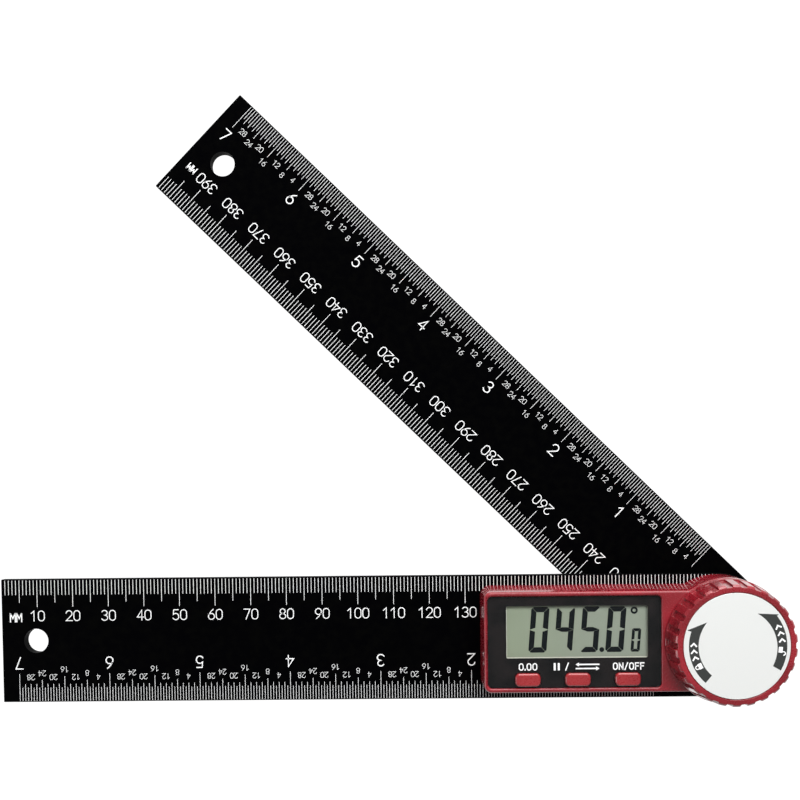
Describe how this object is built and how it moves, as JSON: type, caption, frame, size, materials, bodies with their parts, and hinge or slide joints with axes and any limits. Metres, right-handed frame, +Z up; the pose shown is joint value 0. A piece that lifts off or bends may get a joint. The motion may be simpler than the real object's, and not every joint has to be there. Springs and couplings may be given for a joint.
{
  "type": "digital angle finder",
  "caption": "Digital angle finder: flat rule arms on a common hinge, a display housing with push buttons, and a toothed knob that clamps the arms.",
  "frame": {"origin": "on the hinge axis, at the plane that the swing arm lies on", "axes": "+Z up along the hinge axis towards the knob; the display arm runs along -X from the hinge; the swing arm is drawn turned from it towards +Y"},
  "size_m": [0.2173, 0.1691, 0.0235],
  "materials": {
    "arm_black": "flat black composite with printed scales",
    "case_red": "glossy moulded red",
    "button_red": "glossy moulded red",
    "clear_window": "clear, polished",
    "window_mask": "dark print behind the window",
    "lcd_glass": "polished",
    "lcd_reflector": "grey-green, matte",
    "holder_white": "moulded white",
    "contact_rubber": "dark elastomer",
    "board_green": "green solder mask",
    "chip_black": "black resin",
    "steel": "plain steel",
    "brass": "plain brass",
    "nylon": "natural nylon",
    "plate_silver": "satin, with two printed arrows"
  },
  "bodies": {
    "display_body": {"display_arm": "arm_black", "display_housing": "case_red", "window_lens": "clear_window", "window_mask": "window_mask", "lcd_front_glass": "lcd_glass", "lcd_rear_glass": "lcd_glass", "lcd_reflector": "lcd_reflector", "lcd_holder": "holder_white", "zebra_strips": "contact_rubber", "circuit_board": "board_green", "controller_chip": "chip_black", "board_parts": "chip_black", "tact_switches": "steel", "board_screws": "steel", "coin_cell": "steel", "contact_plus": "brass", "contact_minus": "brass", "pivot_bush": "brass", "slip_washer": "nylon", "encoder_stator": "brass", "disc_spring": "steel", "thrust_washer": "steel", "housing_screws": "steel"},
    "swing_body": {"swing_arm": "arm_black", "pivot_bolt": "steel", "encoder_rotor": "board_green"},
    "knob_body": {"lock_knob": "case_red", "knob_insert": "brass", "knob_plate": "plate_silver"},
    "battery_cover_body": {"battery_cover": "arm_black"},
    "button_zero_body": {"button_zero": "button_red"},
    "button_hold_body": {"button_hold": "button_red"},
    "button_power_body": {"button_power": "button_red"}
  },
  "joints": [
    {"name": "arm_fold", "type": "hinge", "parent": "display_body", "child": "swing_body", "pos_m": [0, 0, 0.0025], "axis": [0, 0, 1], "continuous": true},
    {"name": "knob_turn", "type": "hinge", "parent": "display_body", "child": "knob_body", "pos_m": [0, 0, 0.0155], "axis": [0, 0, 1], "range_deg": [0, 180]},
    {"name": "battery_cover_turn", "type": "hinge", "parent": "display_body", "child": "battery_cover_body", "pos_m": [-0.0435, 0, 0.0028], "axis": [0, 0, 1], "range_deg": [0, 40]},
    {"name": "zero_press", "type": "slide", "parent": "display_body", "child": "button_zero_body", "axis": [0, 0, -1], "range_m": [0, 0.0005], "stiffness_N_per_m": 1500},
    {"name": "hold_press", "type": "slide", "parent": "display_body", "child": "button_hold_body", "axis": [0, 0, -1], "range_m": [0, 0.0005], "stiffness_N_per_m": 1500},
    {"name": "power_press", "type": "slide", "parent": "display_body", "child": "button_power_body", "axis": [0, 0, -1], "range_m": [0, 0.0005], "stiffness_N_per_m": 1500}
  ]
}
